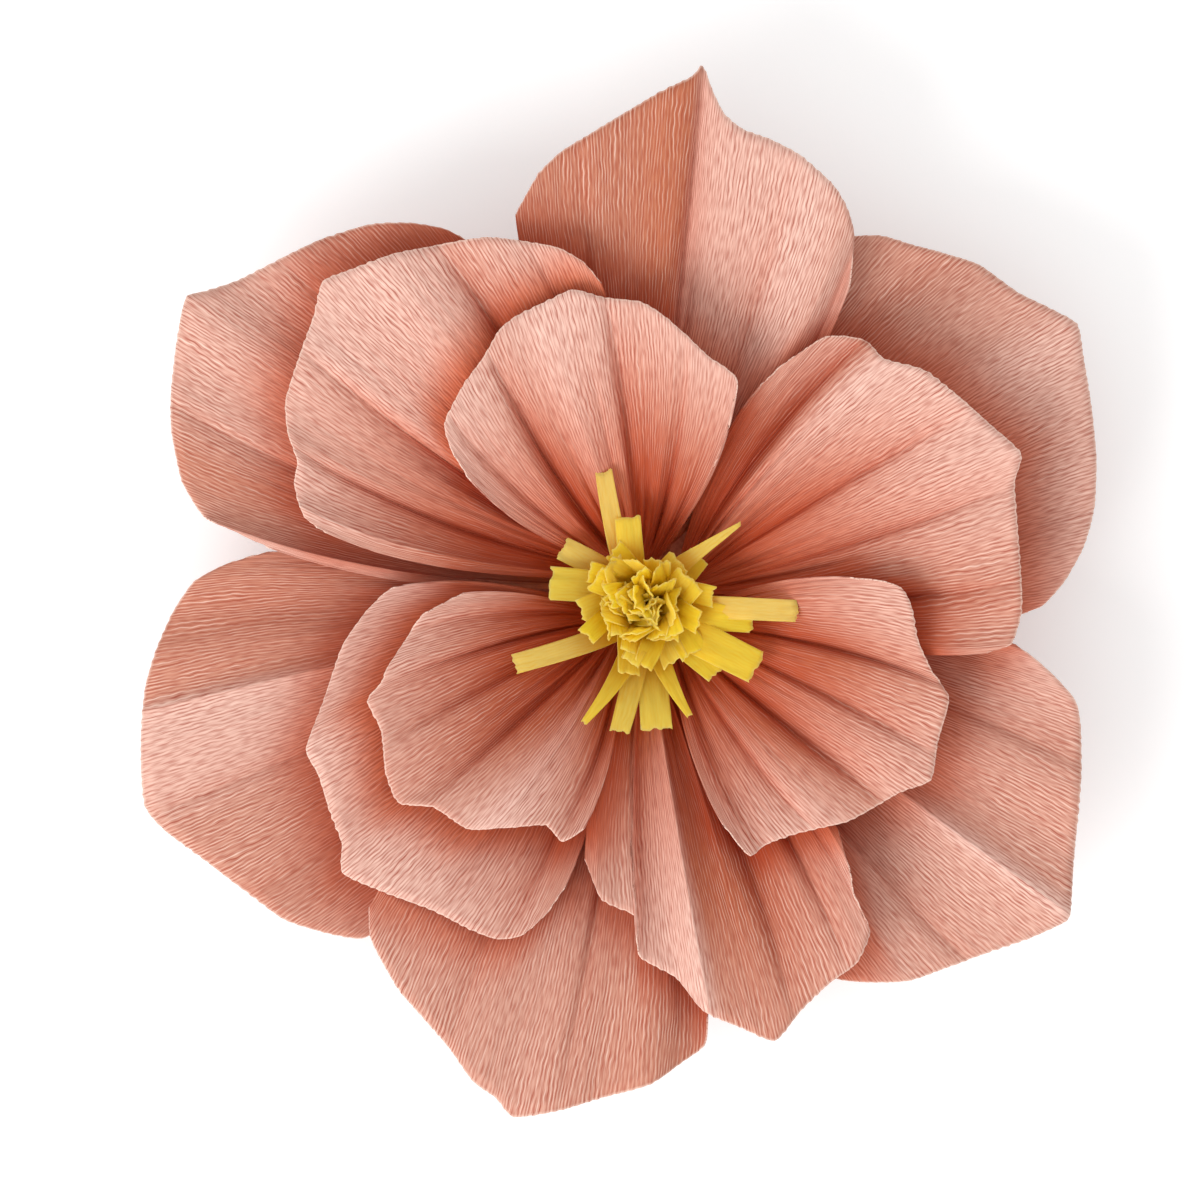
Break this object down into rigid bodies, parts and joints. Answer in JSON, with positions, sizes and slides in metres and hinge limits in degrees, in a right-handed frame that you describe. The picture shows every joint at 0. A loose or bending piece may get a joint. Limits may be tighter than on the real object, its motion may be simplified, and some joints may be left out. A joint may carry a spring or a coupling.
{
  "type": "paper lotus flower",
  "caption": "Large crepe paper lotus flower with layered gathered petals and a rolled yellow fringe of stamens, lying face up on its backing card.",
  "frame": {"origin": "centre of the backing card's rear face", "axes": "+Z out of the flower's face, +Y towards the petal at the picture's top, +X to the picture's right"},
  "size_m": [0.282, 0.3082, 0.0584],
  "materials": {
    "petal_crepe": "matte",
    "stamen_crepe": "matte",
    "backing_card": "matte"
  },
  "bodies": {
    "root": {"backing_card": "backing_card", "petal_outer_top": "petal_crepe", "petal_outer_upper_right": "petal_crepe", "petal_outer_lower_right": "petal_crepe", "petal_outer_bottom": "petal_crepe", "petal_outer_lower_left": "petal_crepe", "petal_outer_upper_left": "petal_crepe", "petal_middle_upper_left": "petal_crepe", "petal_middle_right": "petal_crepe", "petal_middle_lower_left": "petal_crepe", "petal_middle_bottom": "petal_crepe", "petal_inner_top": "petal_crepe", "petal_inner_right": "petal_crepe", "petal_inner_left": "petal_crepe", "stamen_roll": "stamen_crepe", "stamen_outer_fringe": "stamen_crepe"}
  },
  "joints": []
}
